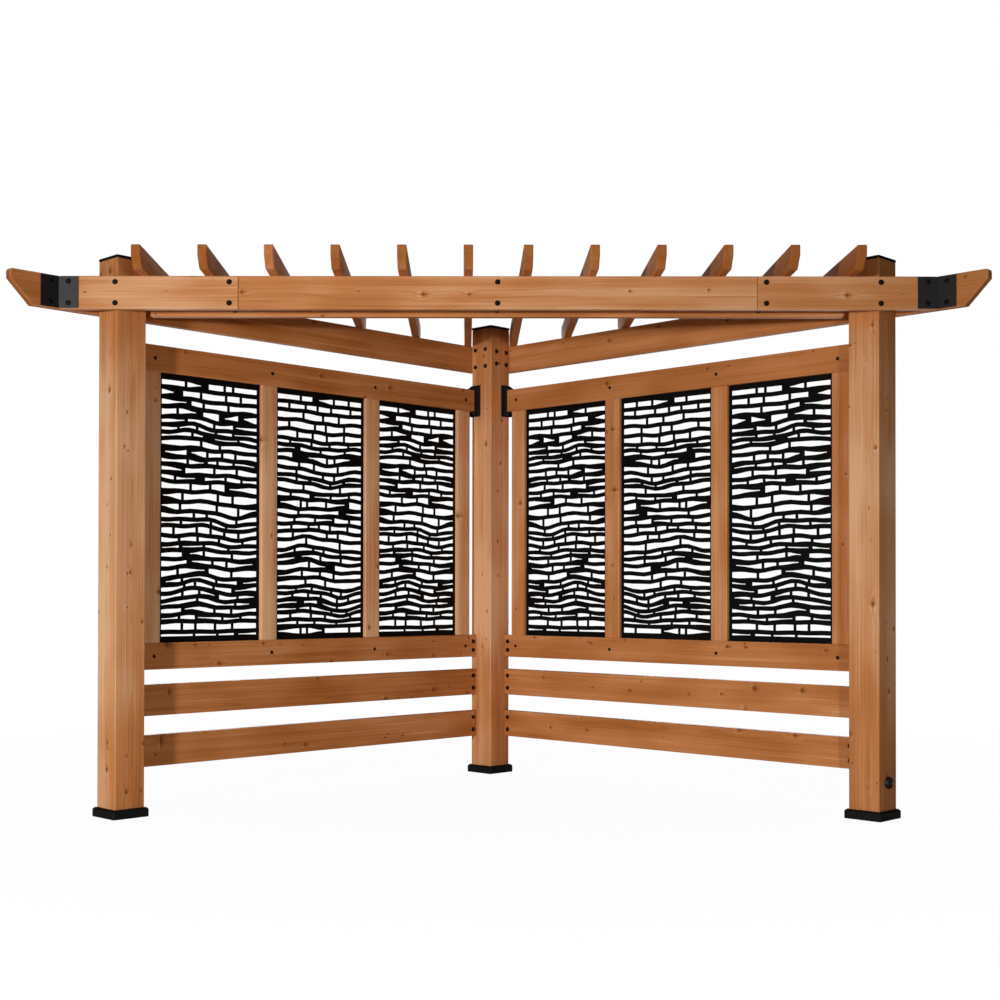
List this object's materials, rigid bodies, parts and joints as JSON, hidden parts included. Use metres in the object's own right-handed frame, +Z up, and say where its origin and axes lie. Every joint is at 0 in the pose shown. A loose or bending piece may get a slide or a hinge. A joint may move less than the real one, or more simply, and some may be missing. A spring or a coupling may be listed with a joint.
{
  "type": "corner pergola",
  "caption": "Timber corner pergola on a triangular plan: square posts on black feet, railed walls with cut-metal screens, a header across the open front and rafters above.",
  "frame": {"origin": "centre of the corner post's foot, on the ground", "axes": "+X along the open front to the right, +Y away from the front towards the back corner, +Z up"},
  "size_m": [3.9698, 2.0673, 2.339],
  "materials": {
    "post_timber": "stained cedar, satin",
    "board_timber": "stained cedar, satin",
    "black_steel": "black powder coat, fine texture",
    "screen_steel": "black powder coat, matte"
  },
  "bodies": {
    "root": {"corner_post": "post_timber", "left_post": "post_timber", "right_post": "post_timber", "header_left": "board_timber", "header_centre": "board_timber", "header_right": "board_timber", "inner_header": "board_timber", "left_beam": "board_timber", "right_beam": "board_timber", "rafter_1": "board_timber", "rafter_2": "board_timber", "rafter_3": "board_timber", "rafter_4": "board_timber", "rafter_5": "board_timber", "rafter_6": "board_timber", "rafter_7": "board_timber", "rafter_8": "board_timber", "rafter_9": "board_timber", "rafter_10": "board_timber", "rafter_11": "board_timber", "rafter_12": "board_timber", "left_low_rail": "board_timber", "left_middle_rail": "board_timber", "left_sill_rail": "board_timber", "left_top_rail": "board_timber", "left_stiles": "board_timber", "right_low_rail": "board_timber", "right_middle_rail": "board_timber", "right_sill_rail": "board_timber", "right_top_rail": "board_timber", "right_stiles": "board_timber", "corner_foot": "black_steel", "left_foot": "black_steel", "right_foot": "black_steel", "post_caps": "black_steel", "header_sleeves": "black_steel", "corner_plates": "black_steel", "rail_brackets": "black_steel", "left_screen_1": "screen_steel", "left_screen_2": "screen_steel", "left_screen_3": "screen_steel", "right_screen_1": "screen_steel", "right_screen_2": "screen_steel", "right_screen_3": "screen_steel"}
  },
  "joints": []
}
